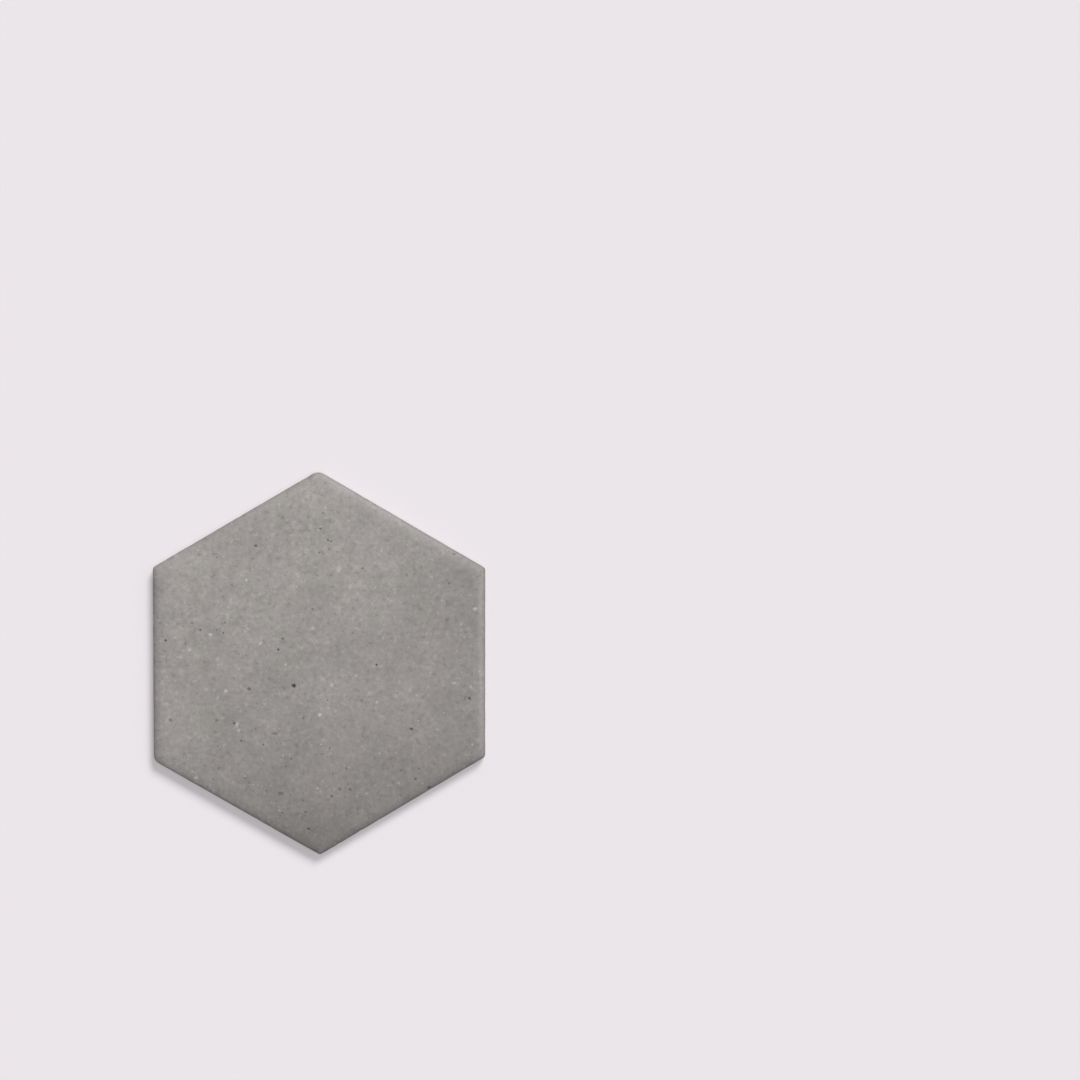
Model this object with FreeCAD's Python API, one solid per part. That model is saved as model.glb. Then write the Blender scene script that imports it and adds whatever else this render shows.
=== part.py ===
import FreeCAD, Part
import math
import os

# Unglazed hexagonal floor tile, pressed from clay and fired as one piece. Millimetres.
# The tile lies on its back with +Z up through the face that is walked on. Two of its six
# sides face +X and -X, two of its corners point along +Y and -Y, and the origin is the
# centre of the bearing face of the back.

# Outline, seen from above
ACROSS_FLATS = 200.0
CORNER_RADIUS = 2.5

# Height from the bearing face of the back to the level part of the face
THICKNESS = 9.0

# The face rolls over into the sides in a quarter of an ellipse, wider than it is deep,
# and the corners of its level part are rounder than those of the outline
ROLL_WIDTH = 7.0
ROLL_DEPTH = 2.5
FACE_CORNER_RADIUS = 6.5

# The lower edge has a small bevel, where the die parts from the punch
BEVEL_WIDTH = 0.8
BEVEL_HEIGHT = 1.2

# The back has shallow key grooves along Y, which the mortar fills, inside a plain border.
# Their walls lean by the draft, so the punch draws out.
GROOVE_WIDTH = 6.0
RIB_WIDTH = 4.0
GROOVE_DEPTH = 0.8
GROOVE_DRAFT = 0.6
BACK_BORDER = 10.0

SIDES = 6
HALF_SECTOR = math.pi / SIDES
UP = FreeCAD.Vector(0, 0, 1)


def polar(radius, angle, height):
    """The point at this distance and angle round the tile's axis."""
    return FreeCAD.Vector(radius * math.cos(angle), radius * math.sin(angle), height)


def corner_centre(inset, corner_radius, corner, height):
    """The centre of one rounded corner of the outline, moved inwards by inset."""
    apothem = ACROSS_FLATS / 2 - inset
    return polar((apothem - corner_radius) / math.cos(HALF_SECTOR), corner, height)


def outline(inset, corner_radius, height):
    """A hexagon with rounded corners: the tile's outline moved inwards by inset, as a wire."""
    edges = []
    for side in range(SIDES):
        facing = side * 2 * HALF_SECTOR
        corner = facing + HALF_SECTOR
        centre_before = corner_centre(inset, corner_radius, corner - 2 * HALF_SECTOR, height)
        centre = corner_centre(inset, corner_radius, corner, height)
        start = centre_before + polar(corner_radius, facing, 0)
        arc_start = centre + polar(corner_radius, facing, 0)
        arc_middle = centre + polar(corner_radius, corner, 0)
        arc_end = centre + polar(corner_radius, facing + 2 * HALF_SECTOR, 0)
        edges.append(Part.makeLine(start, arc_start))
        edges.append(Part.Arc(arc_start, arc_middle, arc_end).toShape())
    return Part.Wire(edges)


def roll_pole(corner, direction, reach, share, rise):
    """A pole of the rolled edge, at these shares of the roll's width and depth."""
    corner_radius = CORNER_RADIUS + (FACE_CORNER_RADIUS - CORNER_RADIUS) * share
    height = THICKNESS - ROLL_DEPTH * (1 - rise)
    centre = corner_centre(ROLL_WIDTH * share, corner_radius, corner, height)
    return centre + polar(corner_radius * reach, direction, 0)


def rolled_face(along):
    """One face of the rolled edge, a quarter ellipse across, with these poles along the outline."""
    across = [(0, 0, 1), (0, 1, math.sqrt(0.5)), (1, 1, 1)]
    poles = []
    weights = []
    for corner, direction, reach, weight_along in along:
        poles.append([roll_pole(corner, direction, reach, share, rise) for share, rise, _ in across])
        weights.append([weight_along * weight_across for _, _, weight_across in across])
    ends_along = [len(along)] * 2
    ends_across = [len(across)] * 2
    surface = Part.BSplineSurface()
    surface.buildFromPolesMultsKnots(poles, ends_along, ends_across, [0, 1], [0, 1], False, False,
                                     len(along) - 1, len(across) - 1, weights)
    return surface.toShape()


def rolled_edge():
    """The top of the tile: the rolled faces of its sides and corners, closed above and below."""
    tip = 1 / math.cos(HALF_SECTOR)
    faces = [Part.Face(outline(0, CORNER_RADIUS, THICKNESS - ROLL_DEPTH)),
             Part.Face(outline(ROLL_WIDTH, FACE_CORNER_RADIUS, THICKNESS))]
    for side in range(SIDES):
        facing = side * 2 * HALF_SECTOR
        corner = facing + HALF_SECTOR
        corner_before = facing - HALF_SECTOR
        next_facing = facing + 2 * HALF_SECTOR
        faces.append(rolled_face([(corner_before, facing, 1, 1), (corner, facing, 1, 1)]))
        faces.append(rolled_face([(corner, facing, 1, 1), (corner, corner, tip, 1 / tip),
                                  (corner, next_facing, 1, 1)]))
    shell = Part.makeShell(faces)
    shell.sewShape()
    solid = Part.makeSolid(shell)
    if solid.Volume < 0:
        solid.reverse()
    return solid


def straight_sides():
    """The upright part of the tile, between the bevel and the rolled edge."""
    height = THICKNESS - ROLL_DEPTH - BEVEL_HEIGHT
    return Part.Face(outline(0, CORNER_RADIUS, BEVEL_HEIGHT)).extrude(UP * height)


def bevelled_foot():
    """The lowest part of the tile, which widens from the bearing face up to the full outline."""
    bearing_edge = outline(BEVEL_WIDTH, CORNER_RADIUS, 0)
    full_edge = outline(0, CORNER_RADIUS, BEVEL_HEIGHT)
    return Part.makeLoft([bearing_edge, full_edge], True, True)


def groove(centre_x, length):
    """One key groove: a trapezium, open at the back and narrower at its floor, carried along Y."""
    half_mouth = GROOVE_WIDTH / 2
    half_floor = half_mouth - GROOVE_DRAFT
    corners = [(-half_mouth, 0), (half_mouth, 0), (half_floor, GROOVE_DEPTH), (-half_floor, GROOVE_DEPTH)]
    points = [FreeCAD.Vector(centre_x + x, -length / 2, z) for x, z in corners]
    section = Part.Face(Part.makePolygon(points + points[:1]))
    return section.extrude(FreeCAD.Vector(0, length, 0))


def key_grooves():
    """All the key grooves, either side of a rib on the centre line, ending at the plain border."""
    pitch = GROOVE_WIDTH + RIB_WIDTH
    field_half_width = ACROSS_FLATS / 2 - BACK_BORDER
    across_corners = ACROSS_FLATS / math.cos(HALF_SECTOR)
    pairs = int((field_half_width + RIB_WIDTH / 2) // pitch)
    grooves = []
    for index in range(pairs):
        offset = (index + 0.5) * pitch
        grooves.append(groove(offset, across_corners))
        grooves.append(groove(-offset, across_corners))
    mouth = outline(BACK_BORDER, CORNER_RADIUS, 0)
    floor = outline(BACK_BORDER + GROOVE_DRAFT, CORNER_RADIUS, GROOVE_DEPTH)
    field = Part.makeLoft([mouth, floor], True, True)
    return [each.common(field) for each in grooves]


def tile_body():
    """The whole tile as one solid."""
    blank = bevelled_foot().fuse([straight_sides(), rolled_edge()])
    return blank.cut(key_grooves()).removeSplitter()


os.makedirs("parts", exist_ok=True)
tile = tile_body()
tile.exportStep("parts/tile_body.step")
box = tile.optimalBoundingBox(False)
print("solids", len(tile.Solids), "valid", tile.isValid())
print("size", round(box.XLength, 3), round(box.YLength, 3), round(box.ZLength, 3))
print("volume", round(tile.Volume / 1000, 1), "cubic centimetres")
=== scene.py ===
import logging
import math
from dataclasses import dataclass, field
from enum import Enum

import bpy
import numpy as np
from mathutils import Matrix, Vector


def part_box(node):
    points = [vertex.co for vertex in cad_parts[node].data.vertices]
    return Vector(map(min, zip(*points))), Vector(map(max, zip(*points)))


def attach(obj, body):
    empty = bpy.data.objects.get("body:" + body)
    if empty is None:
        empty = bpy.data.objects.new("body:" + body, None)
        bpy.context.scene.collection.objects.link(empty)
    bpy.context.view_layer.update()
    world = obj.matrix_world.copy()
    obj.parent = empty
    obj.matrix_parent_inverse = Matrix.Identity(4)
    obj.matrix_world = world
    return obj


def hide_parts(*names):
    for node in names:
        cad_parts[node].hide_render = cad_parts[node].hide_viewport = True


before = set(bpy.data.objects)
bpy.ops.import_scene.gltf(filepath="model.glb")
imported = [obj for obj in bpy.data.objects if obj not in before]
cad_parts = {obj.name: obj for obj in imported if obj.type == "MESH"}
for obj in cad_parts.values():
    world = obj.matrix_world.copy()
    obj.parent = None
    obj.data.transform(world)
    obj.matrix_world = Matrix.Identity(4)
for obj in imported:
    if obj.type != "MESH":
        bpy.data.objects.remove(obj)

# One hexagonal floor tile of unglazed fired clay. It lies on its back on a pale studio floor
# and is seen from straight above. Lengths are in metres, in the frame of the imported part: +Z
# up through the face that is walked on, flat sides facing +X and -X, corners at +Y and -Y.

MM = 0.001
SIDES = 6
SECTOR = math.tau / SIDES
HALF_SECTOR = SECTOR / 2
PLAIN_LIGHT = math.pi
NOISE_SWING = 0.25

Array = np.ndarray
Socket = bpy.types.NodeSocket
Pair = tuple[float, float]
Triple = tuple[float, float, float]

log = logging.getLogger("hexagon_tile")


def smooth_step(values: Array) -> Array:
    """Eases values from 0 to 1: 3 v squared less 2 v cubed, after v is kept within 0 and 1.

    Args:
        values: Any array.

    Returns:
        The eased array.
    """
    kept = np.clip(values, 0.0, 1.0)
    return kept * kept * (3.0 - 2.0 * kept)


def even_steps(count: int) -> Array:
    """The numbers from 1 / count to 1 in this many even steps."""
    return np.linspace(0.0, 1.0, count + 1)[1:]


@dataclass(frozen=True)
class RandomRelief:
    """Smooth random relief, the sum of many plane waves that run in all directions.

    The height at p is height * sqrt(2 / waves) times the sum of sin(2 pi d.p / w + phase), with
    directions d drawn evenly over the sphere and wavelengths w spread between the two limits.
    """

    height: float
    longest: float
    shortest: float
    waves: int
    seed: int

    def at(self, points: Array) -> Array:
        """Works out the relief.

        Args:
            points: Places, as an array of rows x, y, z.

        Returns:
            The height at each place; its usual size is the field height.
        """
        dice = np.random.default_rng(self.seed)
        directions = dice.normal(size=(self.waves, 3))
        directions /= np.linalg.norm(directions, axis=1, keepdims=True)
        spread = dice.random(self.waves)
        wavelengths = self.longest * (self.shortest / self.longest) ** spread
        phases = dice.random(self.waves) * math.tau
        turns = points @ (math.tau * directions / wavelengths[:, None]).T
        return self.height * math.sqrt(2 / self.waves) * np.sin(turns + phases).sum(axis=1)


@dataclass(frozen=True)
class Outline:
    """The tile seen from above: a hexagon with a radius and a lean of its own at each corner.

    Both go round anticlockwise, from the corner that lies 30 degrees round from +X. A lean is
    how far drying and firing drew the corner along X and along Y. No arc is smaller than the
    least radius, or than the least inner radius once the outline is moved inwards.
    """

    apothem: float
    corner_radii: tuple[float, ...] = (2.5 * MM, 7.0 * MM, 3.0 * MM, 5.5 * MM, 2.5 * MM, 2.5 * MM)
    corner_leans: tuple[Pair, ...] = (
        (0.0, -0.5 * MM), (-0.5 * MM, 0.35 * MM), (0.05 * MM, -0.1 * MM),
        (0.7 * MM, -0.9 * MM), (0.7 * MM, 0.0), (0.0, 1.3 * MM),
    )
    least_radius: float = 1e-9
    least_inner_radius: float = 0.5 * MM

    def radius_at(self, sector: Array, share: Array) -> Array:
        """The radius of the corner that is nearer to each point of a side."""
        corner = np.where(share < 0, sector - 1, sector) % SIDES
        return np.array(self.corner_radii)[corner]

    def trace(self, inset: Array, growth: Array, sector: Array,
              share: Array) -> tuple[Array, ...]:
        """Walks along the sides of the outline, moved inwards.

        A half side runs from its middle (share 0) to the middle of a corner (share 1 or -1).
        Its straight stretch is (apothem - radius) tan 30 long and its arc is radius times 30
        degrees, and the share is a share of both together.

        Args:
            inset: How far the outline is moved inwards, for each point.
            growth: What is added to the corner radii, for each point.
            sector: The side that each point is on, from 0 at +X, anticlockwise.
            share: The place along the side, from -1 to 1.

        Returns:
            The x and y of each point, and the angle that the outline faces there.
        """
        apothem = self.apothem - inset
        radius = np.maximum(self.radius_at(sector, share) + growth, self.least_radius)
        straight = (apothem - radius) * math.tan(HALF_SECTOR)
        run = np.abs(share) * (straight + radius * HALF_SECTOR)
        turn = np.maximum(run - straight, 0.0) / radius
        across = apothem - radius * (1.0 - np.cos(turn))
        along = np.sign(share) * (np.minimum(run, straight) + radius * np.sin(turn))
        facing = sector * SECTOR
        x = across * np.cos(facing) - along * np.sin(facing)
        y = across * np.sin(facing) + along * np.cos(facing)
        return *self.leaned(x, y), facing + np.sign(share) * turn

    def leaned(self, x: Array, y: Array) -> tuple[Array, Array]:
        """Moves points with the leans of the corners.

        Each point is a share of the corner before it and a share of the corner after it, going
        round, and moves by those shares of their leans. So straight lines over a side stay
        straight, and the middle of the tile stays in its place.

        Args:
            x: The places along X.
            y: The places along Y.

        Returns:
            The x and y of the moved points.
        """
        sector = np.floor((np.arctan2(y, x) + HALF_SECTOR) / SECTOR).astype(int)
        facing = sector * SECTOR
        across = (x * np.cos(facing) + y * np.sin(facing)) / self.apothem
        along = (y * np.cos(facing) - x * np.sin(facing)) / (self.apothem * math.tan(HALF_SECTOR))
        leans = np.array(self.corner_leans)
        before, after = leans[(sector - 1) % SIDES], leans[sector % SIDES]
        move = ((across - along)[..., None] * before + (across + along)[..., None] * after) / 2
        return x + move[..., 0], y + move[..., 1]

    def half_height(self, x: Array, inset: float, upper: bool) -> Array:
        """How far the outline, moved inwards, reaches in Y at each x.

        Between the corner arcs it is (2 apothem - |x|) / sqrt 3. Over an arc it is the arc's
        centre plus the root of radius squared less the distance from the centre squared.

        Args:
            x: Places along X, within the apothem.
            inset: How far the outline is moved inwards.
            upper: True for the half at +Y, and False for the half at -Y.

        Returns:
            The distance from the X axis, for each x.
        """
        apothem = self.apothem - inset
        radii = np.maximum(np.array(self.corner_radii) - inset, self.least_inner_radius)
        right, tip, left = radii[:3] if upper else radii[:2:-1]
        side_radius = np.where(x > 0, right, left)
        reach = (2 * apothem - np.abs(x)) / math.sqrt(3)
        tip_centre = (apothem - tip) / math.cos(HALF_SECTOR)
        tip_reach = tip_centre + np.sqrt(np.maximum(tip**2 - x**2, 0.0))
        reach = np.where(np.abs(x) < tip * math.sin(HALF_SECTOR), tip_reach, reach)
        past = np.abs(x) - (apothem - side_radius)
        side_centre = (apothem - side_radius) * math.tan(HALF_SECTOR)
        side = side_centre + np.sqrt(np.maximum(side_radius**2 - past**2, 0.0))
        return np.where(past > side_radius * math.cos(2 * HALF_SECTOR), side, reach)


class SpotKind(Enum):
    """What a spot in the face is."""

    PIT = "pit"
    GRAIN = "grain"


@dataclass(frozen=True)
class Spot:
    """A pit or a pale grain in the face, placed in millimetres from the tile's middle.

    It is drawn out to stretch times its radius along its turn, which is in degrees from +X.
    """

    kind: SpotKind
    east: float
    north: float
    radius: float
    strength: float = 1.0
    stretch: float = 1.0
    turn: float = 0.0

    def distance(self, points: Array) -> Array:
        """How far each point is from the spot, seen from above, in shares of its radius."""
        turn = math.radians(self.turn)
        east = points[:, 0] - self.east * MM
        north = points[:, 1] - self.north * MM
        along = (east * math.cos(turn) + north * math.sin(turn)) / self.stretch
        across = north * math.cos(turn) - east * math.sin(turn)
        return np.hypot(along, across) / (self.radius * MM)


@dataclass(frozen=True)
class FiredPatch:
    """A broad soft patch, placed in millimetres, where the clay fired paler or darker."""

    east: float
    north: float
    radius: float
    tone: float

    def at(self, points: Array) -> Array:
        """The patch's tone at each point: its tone times exp(-(d / radius) squared)."""
        apart = (points[:, 0] - self.east * MM) ** 2 + (points[:, 1] - self.north * MM) ** 2
        return self.tone * np.exp(-apart / (self.radius * MM) ** 2)


@dataclass
class Skin:
    """Points, the faces that join them, and the marks on them that the finish reads."""

    points: Array = field(default_factory=lambda: np.zeros((0, 3)))
    faces: list[Array] = field(default_factory=list)
    marks: dict[str, Array] = field(default_factory=dict)

    def add(self, points: Array, **marks: Array) -> int:
        """Adds points.

        Args:
            points: The new points, as rows of x, y, z.
            marks: Values at the new points, by name; marks that are not named are 0 there.

        Returns:
            The number of the first new point.
        """
        start = len(self.points)
        self.points = np.concatenate([self.points, points])
        for name in sorted({*self.marks, *marks}):
            before = self.marks.get(name, np.zeros(start))
            after = marks.get(name, np.zeros(len(points)))
            self.marks[name] = np.concatenate([before, after])
        return start

    def triangles(self) -> int:
        """The number of triangles, with a four-cornered face counted as two."""
        return sum(len(group) * (group.shape[1] - 2) for group in self.faces)

    def to_object(self, name: str, crease: float) -> bpy.types.Object:
        """Makes the Blender object.

        Args:
            name: The piece's name.
            crease: The angle in degrees past which an edge stays sharp.

        Returns:
            A mesh object at the origin, with one attribute for each mark.
        """
        mesh = bpy.data.meshes.new(name)
        corners = np.concatenate([group.ravel() for group in self.faces])
        sizes = np.concatenate([np.full(len(group), group.shape[1]) for group in self.faces])
        starts = np.concatenate([[0], np.cumsum(sizes)[:-1]])
        mesh.vertices.add(len(self.points))
        mesh.vertices.foreach_set("co", self.points.astype(np.float32).ravel())
        mesh.loops.add(len(corners))
        mesh.loops.foreach_set("vertex_index", corners.astype(np.int32))
        mesh.polygons.add(len(sizes))
        mesh.polygons.foreach_set("loop_start", starts.astype(np.int32))
        mesh.update(calc_edges=True)
        mesh.validate()
        mesh.polygons.foreach_set("use_smooth", np.ones(len(mesh.polygons), bool))
        mesh.set_sharp_from_angle(angle=math.radians(crease))
        for mark, values in self.marks.items():
            attribute = mesh.attributes.new(mark, "FLOAT", "POINT")
            attribute.data.foreach_set("value", values.astype(np.float32))
        piece = bpy.data.objects.new(name, mesh)
        bpy.context.scene.collection.objects.link(piece)
        return piece


@dataclass(frozen=True)
class HandWork:
    """How the fired surface departs from the true one. It is nowhere outside it.

    The face has a warp and a ripple, and the edge has a wander and chips, which are bowls of
    depth exp(-(d / radius) squared). The spots are the listed pits and grains. A pit
    ends at pit_rim times its radius, and its mark and a grain's at mark_reach times it. Marks
    and pits fade out over the last mark_fade of the roll, so the upright sides have none.
    """

    warp: RandomRelief = RandomRelief(0.030 * MM, 120 * MM, 45 * MM, 24, 11)
    ripple: RandomRelief = RandomRelief(0.006 * MM, 9 * MM, 3 * MM, 70, 12)
    wander: RandomRelief = RandomRelief(0.035 * MM, 55 * MM, 9 * MM, 48, 13)
    lowered: float = 3.0
    chips: int = 46
    chip_radius: Pair = (0.8 * MM, 1.7 * MM)
    chip_depth: Pair = (0.06 * MM, 0.26 * MM)
    chip_seed: int = 14
    spots: tuple[Spot, ...] = ()
    pit_slope: float = 0.75
    pit_rim: float = 1.3
    mark_reach: float = 2.2
    mark_fade: float = 0.15

    def sunk(self, relief: RandomRelief, points: Array) -> Array:
        """How deep a relief is once it is lowered by a few times its height and cut off at 0."""
        return -np.minimum(relief.at(points) - self.lowered * relief.height, 0.0)

    def face_depth(self, points: Array) -> Array:
        """How far each point of the face lies below the true face."""
        return self.sunk(self.warp, points) + self.sunk(self.ripple, points)

    def edge_depth(self, points: Array, lines: tuple[Array, ...]) -> Array:
        """How far each point of the edge lies inside the true edge.

        Args:
            points: Points of the edge, as rows of x, y, z.
            lines: The loops of points on which chips may lie, such as the foot.

        Returns:
            The depth at each point.
        """
        depth = self.sunk(self.wander, points)
        dice = np.random.default_rng(self.chip_seed)
        for chip in range(self.chips):
            line = lines[chip % len(lines)]
            middle = line[int(dice.integers(len(line)))]
            radius = dice.uniform(*self.chip_radius)
            apart = ((points - middle) ** 2).sum(axis=1)
            depth += dice.uniform(*self.chip_depth) * np.exp(-apart / radius**2)
        return depth

    def above_sides(self, rim: Array) -> Array:
        """Is 1 on the face and most of the roll, and eases to 0 where the roll meets the side."""
        return smooth_step((1 - rim) / self.mark_fade)

    def pit_depth(self, points: Array) -> Array:
        """How deep the pits are: (1 - (d / rim) squared) squared in shares of each pit's depth."""
        depth = np.zeros(len(points))
        for spot in self.spots:
            if spot.kind is SpotKind.PIT:
                bowl = np.clip(1.0 - (spot.distance(points) / self.pit_rim) ** 2, 0.0, 1.0) ** 2
                depth += self.pit_slope * spot.radius * MM * spot.strength * bowl
        return depth

    def marks(self, points: Array, rim: Array) -> dict[str, Array]:
        """How near each point is to a pit and to a grain, and how strong that spot is.

        Args:
            points: Points of the face and of its edge.
            rim: The share of the roll passed at each point; the marks fade out as it nears 1.

        Returns:
            For each kind of spot, the nearness, which falls evenly from 1 at its middle to 0 at
            its reach, and the strength of the spot that is nearest.
        """
        marks = {}
        for kind in SpotKind:
            chosen = [spot for spot in self.spots if spot.kind is kind]
            near = np.stack([1.0 - spot.distance(points) / self.mark_reach for spot in chosen])
            best = near.argmax(axis=0)
            nearness = np.clip(near.max(axis=0), 0.0, 1.0) * self.above_sides(rim)
            strength = np.array([spot.strength for spot in chosen])[best]
            marks[kind.value] = nearness
            marks[kind.value + "_strength"] = strength * (nearness > 0)
        return marks


@dataclass(frozen=True)
class Face:
    """The level part of the face, laid in rings round the middle."""

    outline: Outline
    thickness: float
    roll_width: float
    corner_growth: float
    rings: int = 140
    crowding: float = 0.62
    crowding_reach: float = 2.4 * MM

    def add_to(self, skin: Skin, work: HandWork) -> Array:
        """Adds the face to a skin.

        The points crowd in towards each spot: one at distance d from it moves to
        d (1 - crowding exp(-(d / reach) squared)).

        Args:
            skin: The skin, still empty.
            work: How the real surface departs from the true one.

        Returns:
            The loop of points at the start of the rolled edge.
        """
        ring, sector, share, triangles = self.lattice()
        scale = ring / self.rings
        level = self.outline.apothem - self.roll_width
        growth = self.corner_growth * scale - self.outline.radius_at(sector, share) * (1 - scale)
        x, y, _ = self.outline.trace(self.outline.apothem - level * scale, growth, sector, share)
        for spot in work.spots:
            east, north = spot.east * MM, spot.north * MM
            apart = (x - east) ** 2 + (y - north) ** 2
            pull = 1.0 - self.crowding * np.exp(-apart / self.crowding_reach**2) * (scale < 1)
            x = east + (x - east) * pull
            y = north + (y - north) * pull
        points = np.stack([x, y, np.full(len(x), self.thickness)], axis=1)
        points[:, 2] -= work.face_depth(points) + work.pit_depth(points)
        start = skin.add(points)
        skin.faces.append(start + triangles)
        return start + np.arange(len(points) - SIDES * self.rings, len(points))

    def lattice(self) -> tuple[Array, Array, Array, Array]:
        """Lays points in rings round a middle point, six more in each ring than in the last.

        Ring k has 6 k points, k to a side, and every point is joined to its neighbours on its
        own ring and on the two next to it, so the triangles are all nearly alike.

        Returns:
            The ring, the side and the place along the side (-1 to 1) of every point, and the
            triangles as rows of three points.
        """
        ring = np.repeat(np.arange(1, self.rings + 1), SIDES * np.arange(1, self.rings + 1))

        def inside(of_ring: Array) -> Array:
            """The number of points on the rings inside a ring, without the middle point."""
            return SIDES * of_ring * (of_ring - 1) // 2

        def point(of_ring: Array, at: Array) -> Array:
            """The number of a point, given its ring and its place round the ring."""
            kept = np.maximum(of_ring, 1)
            return np.where(of_ring == 0, 0, 1 + inside(kept) + at % (SIDES * kept))

        place = np.arange(len(ring)) - inside(ring)
        sector = place // ring
        step = place % ring
        outer = point(ring, place)
        outer_next = point(ring, place + 1)
        inner = point(ring - 1, sector * (ring - 1) + step)
        inner_next = point(ring - 1, sector * (ring - 1) + step + 1)
        outward = np.stack([outer, outer_next, inner], axis=1)
        inward = np.stack([inner, outer_next, inner_next], axis=1)[step < ring - 1]
        share = -1.0 + 2.0 * step / ring
        triangles = np.concatenate([outward, inward])
        return np.append(0, ring), np.append(0, sector), np.append(0.0, share), triangles


@dataclass(frozen=True)
class Edge:
    """The rolled edge, the upright sides and the bevel at the foot, as one grid.

    Down the grid runs the tile's profile, and along it the outline. The rolled part is a
    quarter ellipse: at turn t from the side, the inset is its width times 1 - cos t, and it
    lies its depth times 1 - sin t below the face. The painted side shading is painted light and
    shade: how much paler each side's roll is painted for the light that falls on that side, as a
    share; it is below 0 where the roll is painted darker, as painted shade. The chips lie on the
    foot and on the rows of the roll that are chip_rows above its end.
    """

    outline: Outline
    thickness: float
    roll_width: float
    roll_depth: float
    corner_growth: float
    bevel_width: float = 0.8 * MM
    bevel_height: float = 1.2 * MM
    # Painted light and shade on each side's roll, from the side at +X round anticlockwise: painted
    # highlight above 0, painted shade below 0
    wear: tuple[float, ...] = (0.18, -0.08, -0.05, -0.05, 0.09, -0.06)
    painted_shading_blend: float = 0.16
    steps: int = 140
    roll_rows: int = 14
    side_rows: int = 7
    bevel_rows: int = 4
    bevel_crowding: float = 1.5
    chip_rows: tuple[int, ...] = (2, 5)

    def profile(self) -> tuple[Array, ...]:
        """Works out the profile from just below the face down to the foot.

        Returns:
            The inset, the height, the growth of the corner radii, the lean of the surface (0
            facing sideways and 90 degrees facing up) and the share of the roll passed.
        """
        turn = np.linspace(math.pi / 2, 0.0, self.roll_rows + 1)[1:]
        shoulder = self.thickness - self.roll_depth
        down = smooth_step(even_steps(self.side_rows))
        out = even_steps(self.bevel_rows) ** self.bevel_crowding
        level, sloped = np.zeros(self.side_rows), np.zeros(self.bevel_rows)
        rolled_in = 1 - np.cos(turn)
        inset = np.concatenate([self.roll_width * rolled_in, level, self.bevel_width * out])
        height = np.concatenate([self.thickness - self.roll_depth * (1 - np.sin(turn)),
                                 shoulder + (self.bevel_height - shoulder) * down,
                                 self.bevel_height * (1 - out)])
        growth = np.concatenate([self.corner_growth * rolled_in, level, sloped])
        roll_lean = np.arctan2(self.roll_width * np.sin(turn), self.roll_depth * np.cos(turn))
        bevel_lean = math.atan2(self.bevel_width, self.bevel_height)
        lean = np.concatenate([roll_lean, level, sloped - bevel_lean])
        passed = np.concatenate([np.cos(turn), level + 1.0, sloped + 1.0])
        return inset, height, growth, lean, passed

    def painted_roll_shading(self, sector: Array, share: Array) -> Array:
        """The painted side shading at each place, painted light above 0 and painted shade below;
        round a corner it eases from one side's to the next one's.

        Args:
            sector: The side that each point is on.
            share: The place along the side, from -1 to 1.

        Returns:
            The painted shading at each point.
        """
        wear = np.array(self.wear)
        beyond = np.where(share < 0, sector - 1, sector + 1) % SIDES
        own = 0.5 + 0.5 * smooth_step((1 - np.abs(share)) / self.painted_shading_blend)
        return wear[sector] * own + wear[beyond] * (1 - own)

    def add_to(self, skin: Skin, loop: Array, work: HandWork) -> Array:
        """Adds the edge to a skin.

        Args:
            skin: The skin, which holds the face.
            loop: The loop of points at the start of the rolled edge.
            work: How the real surface departs from the true one.

        Returns:
            The loop of points at the foot.
        """
        inset, height, growth, lean, passed = (row[:, None] for row in self.profile())
        place = np.arange(SIDES * self.steps)
        sector = place // self.steps
        share = -1.0 + 2.0 * (place % self.steps) / self.steps
        x, y, facing = self.outline.trace(inset, growth, sector, share)
        level = np.zeros(x.shape)
        points = np.stack([x, y, height + level], axis=-1)
        outward = np.stack([np.cos(facing) * np.cos(lean), np.sin(facing) * np.cos(lean),
                            np.sin(lean) + level], axis=-1)
        rows = points.shape[0]
        lines = (*(points[self.roll_rows - row] for row in self.chip_rows), points[-1])
        passed = (passed + level).ravel()
        flat = points.reshape(-1, 3)
        depth = work.face_depth(flat) * (1 - passed) + work.edge_depth(flat, lines) * passed
        depth += work.pit_depth(flat) * work.above_sides(passed)
        flat = flat - outward.reshape(-1, 3) * depth[:, None]
        flat[:, 2] = np.maximum(flat[:, 2], 0.0)
        # Painted light and shade of each point of the roll, carried as a mark for the material
        wear = (self.painted_roll_shading(sector, share)[None] + level).ravel()
        start = skin.add(flat, rim=passed, wear=wear)
        number = np.concatenate([loop[None], start + np.arange(len(flat)).reshape(rows, -1)])
        upper, lower = number[:-1], number[1:]
        beyond = np.roll(number, -1, axis=1)
        quads = np.stack([lower, beyond[1:], beyond[:-1], upper], axis=-1)
        skin.faces.append(quads.reshape(-1, 4))
        return number[-1]


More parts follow.
